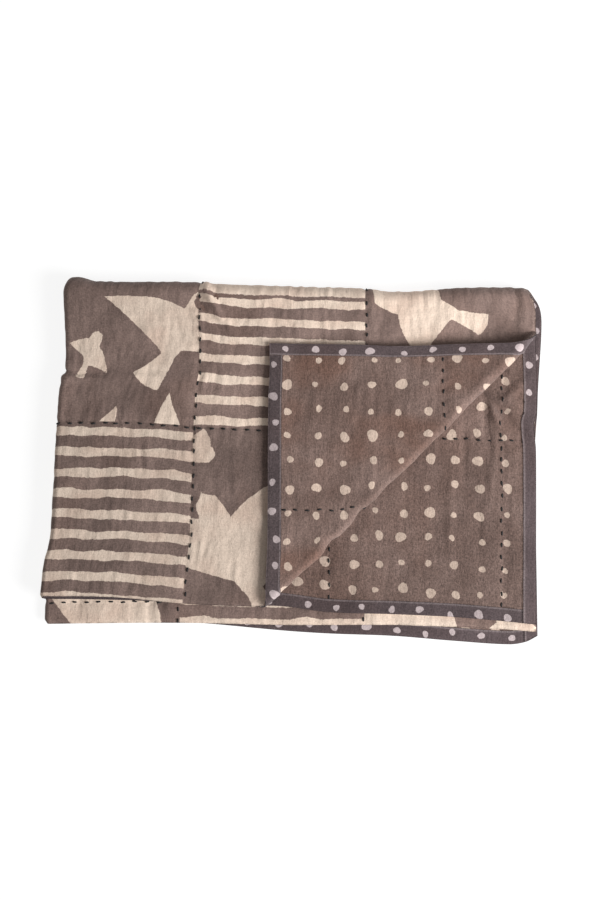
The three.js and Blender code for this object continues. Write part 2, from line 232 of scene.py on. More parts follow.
# The patches, in bands between the seams along: a band's sides in t and its patches' sides in s.
# Of a band's patches, counted from the left, "stripes" gives the striped ones with the middle of a
# pale stripe and their pitch, and the others have birds. "broad" gives a broad pale stripe besides,
# by its middle and half width, and "dye" how much lighter than the rest a patch is made; on the
# patch beside the turned-back corner this darkening is a painted shadow of the corner. Stripes
# that lie underneath have a pitch of three of the mesh's steps.
UNDER_PITCH = 20.457
UPPER_SIDES = sorted((-HALF_ACROSS, *UPPER_ACROSS, HALF_ACROSS))
LOWER_SIDES = sorted((-HALF_ACROSS, *LOWER_ACROSS, HALF_ACROSS))
PATCH_BANDS = (
    {
        "t": (FOLD_SEAM, ALONG[0]), "s": UPPER_SIDES,
        "stripes": {0: (36, 20.6), 2: (30, 20.6), 4: (39, 21.3)},
        "broad": {4: (3.5, 6.2)}, "dye": {4: 0.12, 5: 0.22},
    },
    {
        "t": (ALONG[0], FRONT_LENGTH), "s": UPPER_SIDES,
        "stripes": {1: (160, 20.5), 3: (162.5, 20.8), 5: (163, 20.5)},
        # The fifth patch's darkening is a painted shadow of the turned-back corner.
        "dye": {3: -0.11, 4: -0.1},
    },
    {
        "t": (ALONG[2], FOLD_SEAM), "s": LOWER_SIDES,
        "stripes": {0: (-25.6, UNDER_PITCH), 2: (-32.4, UNDER_PITCH), 4: (-25.6, UNDER_PITCH)},
    },
    {
        "t": (ALONG[3], ALONG[2]), "s": LOWER_SIDES,
        "stripes": {1: (-175.6, UNDER_PITCH), 3: (-182.4, UNDER_PITCH), 5: (-189.3, UNDER_PITCH)},
    },
    {
        "t": (-BACK_LENGTH, ALONG[3]), "s": LOWER_SIDES,
        "stripes": {1: (-348.5, 20.5), 4: (-334, 20.5)},
    },
)
STRIPE_HALF = 4.4
# The value of a print where there is none near.
BARE = -9.0
# Where the cloth was pulled as it was printed, which bends the stripes: as the creases are given.
PULLED = ((142, 40, 60, 13, 90, 3.5), (70, 250, 60, 30, 0, -1.5))
# The birds on the patches: s, t, length, heading in degrees from +s towards +t, how far the wings
# spread, negative where the near wing is on the other side, and how far forward they reach. The
# body grows stouter as the wings are drawn in, and the tail narrower.
BIRDS = (
    (124, 50, 98, -61, -0.95, -0.38),
    (28, 75, 44, -69, 0.6, -0.7),
    (41, 173, 46, 2, -0.9, 0.15),
    (110, 177, 62, 166, 0.95, -0.55),
    (180, 275, 132, -120, 0.95, 0),
    (136, 180, 50, -2, 0.2, -0.4),
    (362, 15, 100, 197, -0.62, -0.5),
    (-360, 66, 96, 30, 1, 0),
    (-54, -286, 200, 180, 0.9, 0),
    (-347, -309, 200, 180, 0.9, 0),
    (-466, -345, 54, 20, 0.5, 0),
    (-300, 290, 96, 200, 0.9, 0),
    (-190, 240, 104, 60, 0.9, 0),
    (-466, 240, 70, 90, 0.6, 0),
    (138, -95, 104, 20, 0.8, -0.4),
    (442, -95, 76, 100, -0.7, 0),
    (-215, -95, 100, 210, 0.9, 0),
    (-40, -245, 104, -30, 0.9, 0),
    (312, -245, 104, 150, -0.85, -0.35),
    (-395, -245, 108, 40, 0.9, 0),
    (140, -338, 110, 175, 0.6, 0),
)
# A flying bird seen from above, tail at 0 and beak at 1. Each part is a closed run of curves, and a
# curve is given by where it starts and the point that it leans towards.
BIRD_REACH, CURVE_POINTS, LEAST_TAIL = 0.95, 7, 0.2
BIRD_BODY = (
    (1.0, 0.0, 0.97, 0.01), (0.93, 0.075, 0.82, 0.11), (0.55, 0.1, 0.3, 0.1),
    (0.1, 0.04, 0.08, 0.0), (0.1, -0.04, 0.3, -0.1), (0.55, -0.1, 0.82, -0.11),
    (0.93, -0.075, 0.97, -0.01),
)
BIRD_TAIL = (
    (0.24, 0.05, 0.04, 0.1), (-0.2, 0.23, -0.28, 0.04), (-0.22, -0.13, 0.02, -0.07),
    (0.24, -0.05, 0.26, 0.0),
)
BIRD_WINGS = (
    ((0.72, 0.07, 0.9, 0.42), (0.76, 0.94, 0.54, 0.58), (0.16, 0.07, 0.45, 0.04)),
    ((0.8, -0.07, 1.04, -0.4), (1.03, -0.86, 0.7, -0.54), (0.28, -0.07, 0.55, -0.04)),
)

# The backing's dots: how far the first row stands from the right and front edges, and their pitch.
# A dot's size is its least radius, how much larger it may be, and how far out of place. Its shape
# is how oval it may be, how much it is drawn to three sides, how rare large ones are, and how far
# beyond its radius it is looked for.
DOTS = {
    "upper": {"from_right": 18.0, "from_front": 19.0, "pitch": (26.3, 28.1)},
    "lower": {"from_right": 30.5, "from_front": 24.5, "pitch": (26.2, 25.8)},
}
DOT_SIZE = {"backing": (3.0, 2.8, 2.7), "binding": (3.1, 1.5, 2.4)}
DOT_OVAL, DOT_THREE, DOT_RARE, DOT_NEAR = 0.16, 0.07, 1.4, 4
BINDING_DOTS_FROM, BINDING_DOT_PITCH, BINDING_DOT_STRAY = 15.0, 29.4, 2.0
DOTS_OUTWARD, OUTWARD_FROM = 4.0, (230.0, 420.0)
BARE_BINDING = (118.0, 320.0)

WHOLE = (-HALF_ACROSS, HALF_ACROSS, -BACK_LENGTH, FRONT_LENGTH)
END = HALF_ACROSS - BINDING_WIDTH
SIDE = END - BUTT_GAP
STRIPS = {
    "binding_end_upper": (END, HALF_ACROSS, -BACK_LENGTH, FRONT_LENGTH),
    "binding_end_lower": (-HALF_ACROSS, -END, -BACK_LENGTH, FRONT_LENGTH),
    "binding_side_front": (-SIDE, SIDE, FRONT_LENGTH - BINDING_WIDTH, FRONT_LENGTH),
    "binding_side_back": (-SIDE, SIDE, -BACK_LENGTH, BINDING_WIDTH - BACK_LENGTH),
}
# How much lighter than its colour a cloth is made: painted shade on the backing's lower layers,
# which grows towards their front, and the dye of each strip of the binding.
LOWER_PAINTED_SHADE, LOWER_SHADE_SHARE, LOWER_SHADE_FROM = -0.13, (0.4, 1.1), (120, 290)
FOLD_BLEND = (-6, 6)
STRIP_DYE = {
    "binding_end_upper": -0.03, "binding_end_lower": -0.03,
    "binding_side_front": -0.24, "binding_side_back": -0.1,
}


def smooth(x, low, high):
    """0 below low, 1 above high, and an even S between."""
    k = np.clip((x - low) / (high - low), 0, 1)
    return k * k * (3 - 2 * k)


def outline(table, column, share):
    """The smooth curve through a table's column: cubic pieces whose slopes span their neighbours."""
    at = np.array(table["share"])
    value = np.array(table[column], dtype=float)
    last = len(at) - 1
    before = np.maximum(np.arange(last + 1) - 1, 0)
    after = np.minimum(np.arange(last + 1) + 1, last)
    slope = (value[after] - value[before]) / (at[after] - at[before])
    row = np.clip(np.searchsorted(at, share) - 1, 0, last - 1)
    span = at[row + 1] - at[row]
    k = np.clip((share - at[row]) / span, 0, 1)
    curve = value[row] + (value[row + 1] - value[row]) * k * k * (3 - 2 * k)
    curve += k * (1 - k) ** 2 * span * slope[row]
    return curve + k * k * (k - 1) * span * slope[row + 1]


def roll_radius(along):
    """The radius of the turned-back corner's roll: it grows evenly along the crease."""
    return ROLL_RADIUS + 2 * ROLL_OPENING * (along - CREASE_MIDDLE) / CREASE


def turn_corner(from_right, from_front):
    """The third fold: beyond the crease a point goes half round a roll, and back beside it."""
    beyond = CREASE_OFF - TO_RIGHT * from_right - TO_FRONT * from_front
    along = TO_RIGHT * from_front - TO_FRONT * from_right
    radius = roll_radius(along)
    angle = np.clip(beyond / radius, 0, np.pi)
    past = np.maximum(beyond - np.pi * radius, 0)
    off = CREASE_OFF - radius * np.sin(angle) + past
    settled = (2 * radius - FLAP_REST) * (1 - np.exp(-past / FLAP_SETTLE))
    turned = beyond > 0
    right = np.where(turned, TO_RIGHT * off - TO_FRONT * along, from_right)
    front = np.where(turned, TO_FRONT * off + TO_RIGHT * along, from_front)
    return right, front, np.where(turned, radius * (1 - np.cos(angle)) - settled, 0)


def bumps(x, y, table):
    """The sum of a table's long and narrow bell-shaped bumps."""
    height = 0
    for at_x, at_y, long, wide, turn, rise in table:
        c, s = np.cos(np.radians(turn)), np.sin(np.radians(turn))
        along = ((x - at_x) * c + (y - at_y) * s) / long
        across = ((y - at_y) * c - (x - at_x) * s) / wide
        height = height + rise * np.exp(-(along**2) - across**2)
    return height


def dented(x, y):
    """How far the dents push a point, in x and in y: a bell round each."""
    right, back = 0, 0
    for at_x, at_y, reach, move_x, move_y in DENTS:
        near = np.exp(-((x - at_x) ** 2 + (y - at_y) ** 2) / reach**2)
        right, back = right + move_x * near, back + move_y * near
    return right, back


def middle(s, t):
    """The middle of the cloth where the flat quilt's point s, t lies.

    A half round joins two layers on the left, a second one bends both round the back, the corner
    turns over, and then every outline drifts as the tables say.
    """
    first = np.clip(s / FIRST_RADIUS, -np.pi / 2, np.pi / 2)
    x = FIRST_RADIUS * (1 - np.cos(first)) + np.maximum(np.abs(s) - FIRST_QUARTER, 0)
    rise = FIRST_RADIUS * np.sin(first)
    second = np.clip(t / SECOND_RADIUS, -np.pi / 2, np.pi / 2)
    radius = SECOND_RADIUS + rise
    y = radius * np.cos(second) - OUTER_RADIUS - np.maximum(np.abs(t) - SECOND_QUARTER, 0)
    z = MIDDLE_HEIGHT + radius * np.sin(second)
    under = (1 - np.sin(second)) / 2
    inner = (FIRST_RADIUS - rise) / (2 * FIRST_RADIUS)
    length = FRONT_ALONG * (1 - under) + BACK_ALONG * under
    upper = (s > 0) & (t > 0)
    right, front, lift = turn_corner(STACK_ACROSS - x, y + FRONT_ALONG)
    x = np.where(upper, STACK_ACROSS - right, x)
    y = np.where(upper, front - FRONT_ALONG, y)
    z = z + np.where(upper, lift, 0)
    a, b = x / STACK_ACROSS, -y / length

    def layered(table, share):
        first, second, third, fourth = (outline(table, layer, share) for layer in LAYERS)
        over = first * (1 - inner) + second * inner
        below = fourth * (1 - inner) + third * inner
        return over * (1 - under) + below * under

    left = outline(LEFT_OUTLINE, "upper", b) * (1 - under)
    left = left + outline(LEFT_OUTLINE, "lower", b) * under
    x = LIE_WIDTH * a + left * (1 - smooth(a, *LEFT_REACH))
    x = x + layered(RIGHT_OUTLINE, b) * smooth(a, *RIGHT_REACH)
    aside, back = dented(x, y)
    x = x + np.where(upper, aside, 0)
    uneven = UNEVEN_LAY * (1 - smooth(a, *UNEVEN_REACH))
    y = -b * (1 - uneven * (1 - b)) * layered(FRONT_OUTLINE, a)
    y = y - outline(BACK_OUTLINE, "drift", a) * (1 - smooth(b, 0, BACK_REACH))
    y = y + np.where(upper, back, 0)
    felt = np.maximum(z - TOP_FACE, 0) / (2 * OUTER_RADIUS)
    return np.stack([x, y, z + felt * bumps(x, y, SWELLS)], axis=-1)


def on_cloth(s, t, height):
    """Points at a height off the middle of the cloth, along its normal, in the quilt's frame."""
    nudge = 0.05
    down = middle(s, t + nudge) - middle(s, t - nudge)
    over = middle(s + nudge, t) - middle(s - nudge, t)
    normal = np.cross(down, over)
    normal /= np.linalg.norm(normal, axis=-1, keepdims=True)
    return middle(s, t) + normal * np.asarray(height)[..., None] - CENTRE


def ripples(s, t, seed, count, shortest, longest, ways=(0, 2 * np.pi)):
    """Smooth unevenness from -1 to 1: a sum of sine waves of mixed lengths and of mixed directions,
    which ways limits."""
    rng = np.random.default_rng(seed)
    total = np.zeros(np.broadcast(s, t).shape)
    for _ in range(count):
        turn, phase = rng.uniform(*ways), rng.uniform(0, 2 * np.pi)
        length = shortest * (longest / shortest) ** rng.uniform()
        total += np.sin(2 * np.pi * (s * np.cos(turn) + t * np.sin(turn)) / length + phase)
    return total / (1.6 * np.sqrt(count))


def rippled(s, t, kind):
    """Ripples of one kind, at their height."""
    height, *waves = kind
    return height * ripples(s, t, *waves)


def beside(seam, s, t):
    """How far a point is from a seam, signed, and how far along it."""
    way, held, start, end = seam
    off, along = (s - held, t) if way == "across" else (t - held, s)
    short = np.maximum(np.maximum(start - along, along - end), 0)
    return np.where(off < 0, -1, 1) * np.hypot(off, short), along


def off_floor(s, t):
    """0 where the patchwork lies on the surface below, which keeps it flat, and 1 elsewhere."""
    return 1 - np.where(t > -SECOND_QUARTER, 0, smooth(s, -FIRST_QUARTER, FIRST_QUARTER))


def quilted(s, t):
    """How far the stitching draws the cloth in, and the small puckers that run out from it."""
    drawn, pucker = 0, 0
    for number, seam in enumerate(SEAMS):
        off, along = beside(seam, s, t)
        beat = 1 - GROOVE_BEAT + GROOVE_BEAT * np.cos(2 * np.pi * along / STITCH_PITCH)
        drawn = np.maximum(drawn, GROOVE_DEPTH * np.exp(-((off / GROOVE_HALF) ** 2)) * beat)
        sway_seed, share_seed = (seed + number for seed in PUCKER_SEEDS)
        sway = PUCKER_SWAY * ripples(s, t, sway_seed, *SWAY_WAVES)
        share = ripples(along, 0 * along, share_seed, *SHARE_WAVES)
        share = PUCKER_SHARE[0] + PUCKER_SHARE[1] * share
        strength = np.exp(-np.abs(off) / PUCKER_REACH) * share
        wave = np.sin(2 * np.pi * along / PUCKER_LENGTH + sway)
        pucker = pucker + PUCKER_HEIGHT * strength * wave
    return drawn, pucker


def hem(s, t, sides):
    """The rounding of a cloth's edges: a quarter ellipse over the last millimetres."""
    low_s, high_s, low_t, high_t = sides
    edge = np.minimum(np.minimum(s - low_s, high_s - s), np.minimum(t - low_t, high_t - t))
    return np.sqrt(np.maximum(1 - (1 - np.clip(edge / HEM_REACH, 0, 1)) ** 2, 0))


def waves(s, t):
    """The cloth's own unevenness, which both of its faces follow.

    Its soft part is the same in all four layers, so that they lie in one another. A layer whose
    patchwork looks down takes it with the opposite sign.
    """
    wide, close = np.abs(s), np.abs(t)
    soft = rippled(wide, close, SOFT_WIDE) + rippled(wide, close, SOFT_CLOSE)
    return np.tanh(s / SETTLED) * np.tanh(t / SETTLED) * soft + bumps(s, t, CREASES)


def crinkles(s, t, seed, towards):
    """Narrow wavering crinkles that come and go: waves that vary mostly along one direction."""
    mean, spread, most = CRINKLE_SHARE
    strength = np.clip(mean + spread * ripples(s, t, seed, *CRINKLE_PLACES), 0, most)
    ways = (towards - CRINKLE_WAVER, towards + CRINKLE_WAVER)
    return CRINKLE_HEIGHT * strength * ripples(s, t, seed + 1, *CRINKLE_WAVES, ways)


def top_face(s, t):
    """The patchwork's height: its thickness, less what the stitching draws in, with its creases.

    Where it lies on the surface below it keeps only the groove. The strip that looks out under the
    front edge is crumpled across.
    """
    drawn, pucker = quilted(s, t)
    free = off_floor(s, t)
    crumple = rippled(s, t, TOP_CRUMPLE) + TOP_CRINKLE * crinkles(s, t, *TOP_CRINKLES)
    height, *waves_across = STRIP_CRUMPLE
    strip = height * smooth(-t, *STRIP_CRUMPLE_FROM)
    crumple = crumple + strip * ripples(s, 0 * t, *waves_across)
    inset = (TOP_FACE - TOP_BACK - HEM_THICKNESS) * (1 - hem(s, t, WHOLE))
    relief = free * (waves(s, t) + pucker + crumple)
    return TOP_FACE - inset + relief - np.maximum(free, UNDER_GROOVE) * drawn


def backing_face(s, t):
    """The backing's height on its own side, with the same creases and stitching."""
    drawn, pucker = quilted(s, t)
    free = off_floor(s, t)
    crumple = rippled(s, t, BACKING_CRUMPLE)
    right, left = (crinkles(s, t, *kind) for kind in BACKING_CRINKLES)
    crumple = crumple + np.where(s > 0, right, left)
    inset = BACKING_HEM * (1 - hem(s, t, WHOLE))
    relief = free * (waves(s, t) - BACKING_PUCKER * pucker + crumple)
    return BACKING_FACE + inset + relief + BACKING_GROOVE * drawn * free


def inner_face(level):
    """A hidden face of a cloth, which follows the cloth's unevenness at a steady depth."""
    return lambda s, t: level + off_floor(s, t) * waves(s, t)


def steps(low, high, step):
    """Values from low up to high, without high, in even steps of about the given length."""
    count = max(1, round((high - low) / step))
    return low + (high - low) * np.arange(count) / count


# How far a seam keeps other lines of the grid off, and how far its own two are from it.
SEAM_CLEAR, SEAM_LINE = 0.45, 0.12


def grid_lines(low, high, stretches, extra):
    """The lines of one direction: even steps in each stretch, and a pair of lines at each seam."""
    lines = [np.array([high])]
    for start, end, step in stretches:
        start, end = max(start, low), min(end, high)
        if end > start:
            lines.append(steps(start, end, step))
    lines = np.unique(np.round(np.concatenate(lines), 5))
    for value in extra:
        if low + 1 < value < high - 1:
            lines = lines[np.abs(lines - value) > SEAM_CLEAR]
            lines = np.append(lines, [value - SEAM_LINE, value + SEAM_LINE])
    return np.sort(lines)


# The grids, in stretches of s and of t: from, to and the step. They are finest at the folds, finer
# where the cloth shows, as on the lower layers' front strip, and the turned-back corner's crease
# runs along the cells' diagonals.
TURN_S, TURN_T = HALF_ACROSS - FRONT_LEG, FRONT_LENGTH - END_LEG
FOLD_S, FOLD_T = FIRST_QUARTER + 1.5, SECOND_QUARTER + 2
FRONT_STRIP_T = -312.0
TURN_CELLS = 132
CORNER_S = (TURN_S, HALF_ACROSS, FRONT_LEG / TURN_CELLS)
CORNER_T = (TURN_T, FRONT_LENGTH, END_LEG / TURN_CELLS)
FRONT_STRIP = (-BACK_LENGTH, FRONT_STRIP_T, 2.2)
TOP_GRID = {
    "s": ((-HALF_ACROSS, -FOLD_S, 3.4), (-FOLD_S, FOLD_S, 1.05), (FOLD_S, TURN_S, 2.2), CORNER_S),
    "t": (
        FRONT_STRIP, (FRONT_STRIP_T, -FOLD_T, UNDER_PITCH / 3), (-FOLD_T, FOLD_T, 1.3),
        (FOLD_T, TURN_T, 2.2), CORNER_T,
    ),
}
BACKING_GRID = {
    "s": (
        (-HALF_ACROSS, -200, 2.2), (-200, -FOLD_S, 6.0), (-FOLD_S, FOLD_S, 1.2),
        (FOLD_S, TURN_S, 6.0), CORNER_S,
    ),
    "t": (
        FRONT_STRIP, (FRONT_STRIP_T, -FOLD_T, 8.0), (-FOLD_T, FOLD_T, 1.5),
        (FOLD_T, TURN_T, 2.2), CORNER_T,
    ),
}


def coarse(lines):
    """Every fourth line of a grid, with its last."""
    picked = np.arange(0, len(lines), 4)
    return picked if picked[-1] == len(lines) - 1 else np.append(picked, len(lines) - 1)


def grid_faces(columns, rows, first):
    """Two triangles for each cell of a grid, divided along the turned-back corner's crease."""
    i, j = np.meshgrid(np.arange(columns - 1), np.arange(rows - 1), indexing="ij")
    corner = (first + i * rows + j).ravel()
    right, down, both = corner + rows, corner + 1, corner + rows + 1
    return np.concatenate([
        np.stack([corner, down, right], axis=1),
        np.stack([right, down, both], axis=1),
    ])


def rim(fine, sparse, picked):
    """The wall between a fine border and a sparse one whose points stand at every few of it."""
    cells = np.arange(len(fine) - 1)
    near = np.searchsorted(picked, cells + 0.5)
    left = picked[np.maximum(near - 1, 0)]
    right = picked[np.minimum(near, len(picked) - 1)]
    halfway = (left + right) / 2
    tie = np.where(cells + 0.5 < halfway, near - 1, near)
    walls = np.stack([fine[:-1], fine[1:], sparse[tie]], axis=1)
    joints = np.ceil((picked[:-1] + picked[1:]) / 2).astype(int)
    closing = np.stack([sparse[1:], sparse[:-1], fine[joints]], axis=1)
    return np.concatenate([walls, closing])


def cloth_mesh(name, sides, grid, upper, lower, shown, marks, extra_s=(), extra_t=()):
    """A closed cloth: its shown face on a fine grid, its hidden face on a sparse one, and a wall.

    shown says which face, upper or lower, is the fine one. marks gives named values at points of
    the flat quilt, kept with the shown face for its print.
    """
    s_lines = grid_lines(sides[0], sides[1], grid["s"], extra_s)
    t_lines = grid_lines(sides[2], sides[3], grid["t"], extra_t)
    picked_s, picked_t = coarse(s_lines), coarse(t_lines)
    fine_s, fine_t = np.meshgrid(s_lines, t_lines, indexing="ij")
    wide_s, wide_t = np.meshgrid(s_lines[picked_s], t_lines[picked_t], indexing="ij")
    seen, hidden = (upper, lower) if shown == "upper" else (lower, upper)
    outer = on_cloth(fine_s, fine_t, seen(fine_s, fine_t)).reshape(-1, 3)
    inner = on_cloth(wide_s, wide_t, hidden(wide_s, wide_t)).reshape(-1, 3)
    outer[:, 2] = np.maximum(outer[:, 2], 0)
    columns, rows = fine_s.shape
    wide_columns, wide_rows = wide_s.shape
    count = columns * rows
    faces = grid_faces(columns, rows, 0)
    back = grid_faces(wide_columns, wide_rows, count)[:, ::-1]
    fine = np.arange(count).reshape(columns, rows)
    sparse = count + np.arange(wide_columns * wide_rows).reshape(wide_columns, wide_rows)
    walls = [
        rim(fine[:, 0], sparse[:, 0], picked_s)[:, ::-1],
        rim(fine[:, -1], sparse[:, -1], picked_s),
        rim(fine[0], sparse[0], picked_t),
        rim(fine[-1], sparse[-1], picked_t)[:, ::-1],
    ]
    faces = np.concatenate([faces, back] + walls)
    if shown == "upper":
        faces = faces[:, ::-1]
    flat = np.concatenate([
        np.stack([fine_s.ravel(), fine_t.ravel()], axis=1),
        np.stack([wide_s.ravel(), wide_t.ravel()], axis=1),
    ])
    piece = mesh_piece(name, np.concatenate([outer, inner]), faces.tolist())
    keep_flat(piece.data, flat, marks)
    outward(piece.data)
    return piece


def place_object(name, data):
    """A new object in the scene that holds a mesh, a lamp or a camera."""
    made = bpy.data.objects.new(name, data)
    bpy.context.scene.collection.objects.link(made)
    return made


def mesh_piece(name, points, faces):
    """A Blender object with smooth faces, from points in millimetres."""
    mesh = bpy.data.meshes.new(name)
    mesh.from_pydata(points / 1000, [], faces)
    mesh.polygons.foreach_set("use_smooth", np.ones(len(mesh.polygons), dtype=bool))
    return place_object(name, mesh)


def keep_flat(mesh, flat, marks):
    """Keeps the flat quilt's s and t as a mesh's UV map, and each named value at its points."""
    layer = mesh.uv_layers.new(name="flat_quilt")
    corners = np.empty(len(mesh.loops), dtype=np.int32)
    mesh.loops.foreach_get("vertex_index", corners)
    layer.data.foreach_set("uv", (flat[corners] / 1000).ravel())
    for key, worked_out in marks.items():
        attribute = mesh.attributes.new(key, "FLOAT", "POINT")
        values = worked_out(flat[:, 0], flat[:, 1]).astype(np.float32)
        attribute.data.foreach_set("value", values)


def outward(mesh):
    """Turns a closed mesh the right way round, by the sign of its volume."""
    work = bmesh.new()
    work.from_mesh(mesh)
    if work.calc_volume(signed=True) < 0:
        bmesh.ops.reverse_faces(work, faces=work.faces)
        work.to_mesh(mesh)
    work.free()


def curved(part, spread, forward):
    """A bird part's outline: for each curve, points on the parabola from its start to the next."""
    part = np.array(part)
    part[:, ::2] += forward * np.abs(part[:, 1::2])
    part[:, 1::2] *= spread
    start, bend = part[:, None, :2], part[:, None, 2:]
    end = np.roll(start, -1, axis=0)
    k = np.linspace(0, 1, CURVE_POINTS, endpoint=False)[None, :, None]
    return ((1 - k) ** 2 * start + 2 * k * (1 - k) * bend + k * k * end).reshape(-1, 2)


def inside_distance(x, y, points):
    """How far inside a closed outline each point is, by its nearest side, and negative outside."""
    least = np.full(x.shape, 1e9)
    odd = np.zeros(x.shape, dtype=bool)
    for (ax, ay), (bx, by) in zip(points, np.roll(points, -1, axis=0)):
        dx, dy = bx - ax, by - ay
        k = np.clip(((x - ax) * dx + (y - ay) * dy) / (dx * dx + dy * dy), 0, 1)
        least = np.minimum(least, (x - ax - k * dx) ** 2 + (y - ay - k * dy) ** 2)
        if dy != 0:
            crossed = (ay > y) != (by > y)
            odd ^= crossed & (x < ax + (y - ay) * dx / dy)
    return np.where(odd, 1, -1) * np.sqrt(least)


def bird_print(s, t, bird):
    """How far inside one bird a point is: the most of its body, wings and tail."""
    at_s, at_t, length, heading, spread, forward = bird
    c, n = np.cos(np.radians(heading)), np.sin(np.radians(heading))
    along = ((s - at_s) * c + (t - at_t) * n) / length + 0.5
    out = ((t - at_t) * c - (s - at_s) * n) / length
    side, wide = np.sign(spread), abs(spread)
    shapes = [curved(wing, spread, forward) for wing in BIRD_WINGS]
    shapes.append(curved(BIRD_BODY, side * (2 - wide), 0))
    shapes.append(curved(BIRD_TAIL, side * (LEAST_TAIL + (1 - LEAST_TAIL) * wide), 0))
    return length * np.maximum.reduce([inside_distance(along, out, shape) for shape in shapes])


def stripe_print(s, t, start, pitch, broad=None):
    """How far inside a pale stripe a point is: the stripes sway, and their width wavers."""
    sway = rippled(s, t, STRIPE_SWAY) + bumps(s, t, PULLED)
    place = (t - start + sway) / pitch
    stripe = np.round(place)
    half = STRIPE_HALF + rippled(s, 41 * stripe, STRIPE_UNEVEN)
    inside = half - np.abs(place - stripe) * pitch
    if broad:
        inside = np.maximum(inside, broad[1] - np.abs(t + sway / 2 - broad[0]))
    return inside


def birds_print(s, t):
    """How far inside the nearest bird a point is."""
    inside = np.full(s.shape, BARE)
    for bird in BIRDS:
        reach = bird[2] * BIRD_REACH
        near = (np.abs(s - bird[0]) < reach) & (np.abs(t - bird[1]) < reach)
        if near.any():
            inside[near] = np.maximum(inside[near], bird_print(s[near], t[near], bird))
    return inside


def patches_under(s, t):
    """Each patch's band and place in it, with which of the points are on it."""
    for band in PATCH_BANDS:
        low_t, high_t = band["t"]
        for place, (low_s, high_s) in enumerate(zip(band["s"], band["s"][1:])):
            yield band, place, (s >= low_s) & (s <= high_s) & (t >= low_t) & (t <= high_t)


def patch_print(s, t):
    """How far inside the pale print a point of the patchwork is, by the patch that it is on."""
    value = np.full(s.shape, BARE)
    for band, place, on in patches_under(s, t):
        if place in band["stripes"]:
            broad = band.get("broad", {}).get(place)
            value[on] = stripe_print(s[on], t[on], *band["stripes"][place], broad)
        else:
            value[on] = birds_print(s[on], t[on])
    return value


def patch_tone_and_shade(s, t):
    """How much lighter than the rest each patch is made, with painted shadow by the turned corner.
    """
    value = np.zeros(s.shape)
    for band, place, on in patches_under(s, t):
        value[on] = band.get("dye", {}).get(place, 0)
    return value


def backing_painted_shade(s, t):
    """Painted shade on the backing: a little darker left of the first fold, and most at the front
    there.
    """
    least, more = LOWER_SHADE_SHARE
    return LOWER_PAINTED_SHADE * (1 - smooth(s, *FOLD_BLEND)) * (least + more * smooth(t, *LOWER_SHADE_FROM))


def nearest_dot(s, t, dots):
    """How far inside the nearest dot a point is: its radius, which swells and shrinks round it by a
    wave of two and a wave of three, less the distance to its middle."""
    best = np.full(s.shape, BARE)
    for at_s, at_t, radius, oval, turn, three in dots:
        reach = radius + DOT_NEAR
        near = (np.abs(s - at_s) < reach) & (np.abs(t - at_t) < reach)
        if near.any():
            ds, dt = s[near] - at_s, t[near] - at_t
            angle = np.arctan2(dt, ds)
            round_it = 1 + oval * np.cos(2 * (angle - turn)) + DOT_THREE * np.cos(3 * angle + three)
            best[near] = np.maximum(best[near], radius * round_it - np.hypot(ds, dt))
    return best


def dot(rng, s, t, cloth):
    """One dot, a little out of place, size and round."""
    least, spread, aside = DOT_SIZE[cloth]
    move = rng.uniform(-aside, aside, 2)
    oval, turn, three = (rng.uniform(0, most) for most in (DOT_OVAL, np.pi, 2 * np.pi))
    return s + move[0], t + move[1], least + spread * rng.uniform() ** DOT_RARE, oval, turn, three


def backing_dots():
    """The backing's dots: rows from each end and edge."""
    rng = np.random.default_rng(5)
    dots = []
    for sign, rows in ((1, DOTS["upper"]), (-1, DOTS["lower"])):
        pitch_s, pitch_t = rows["pitch"]
        for from_right in np.arange(rows["from_right"], HALF_ACROSS, pitch_s):
            s = sign * (HALF_ACROSS - from_right)
            for from_front in np.arange(rows["from_front"], FRONT_LENGTH + BACK_LENGTH, pitch_t):
                dots.append(dot(rng, s, FRONT_LENGTH - from_front, "backing"))
    return dots


def binding_dots(name):
    """The binding's dots: one row down the strip, with a bare stretch on the lower end strip. Those
    of the front strip move outwards on the lower layers."""
    rng = np.random.default_rng(len(name))
    low_s, high_s, low_t, high_t = STRIPS[name]
    lengthwise = "end" in name
    start, stop = (low_t, high_t) if lengthwise else (low_s, high_s)
    dots = []
    for place in np.arange(start + BINDING_DOTS_FROM, stop, BINDING_DOT_PITCH):
        place = place + rng.uniform(-BINDING_DOT_STRAY, BINDING_DOT_STRAY)
        s, t = ((low_s + high_s) / 2, place) if lengthwise else (place, (low_t + high_t) / 2)
        if name == "binding_side_front":
            t += DOTS_OUTWARD * smooth(-s, *OUTWARD_FROM)
        dots.append(dot(rng, s, t, "binding"))
    if name == "binding_end_lower":
        dots = [d for d in dots if not BARE_BINDING[0] < d[1] < BARE_BINDING[1]]
    return dots


def dots_print(dots):
    """The print of a cloth that has the given dots."""
    return lambda s, t: nearest_dot(s, t, dots)


def even_dye(shade):
    """The dye of a cloth that is all of one shade."""
    return lambda s, t: np.full(s.shape, shade)


def stitch_line(seam):
    """Where a seam's stitches are along it, how far each is beside its line, and how it leans."""
    _, held, start, end = seam
    after, before = STITCH_ENDS
    places = np.arange(start + after, end - before, STITCH_PITCH)
    rng = np.random.default_rng(int(abs(held) * 2))
    stray, skew, lean = (rng.uniform(-most, most, len(places)) for most in STITCH_STRAY)
    return places + stray, skew, lean


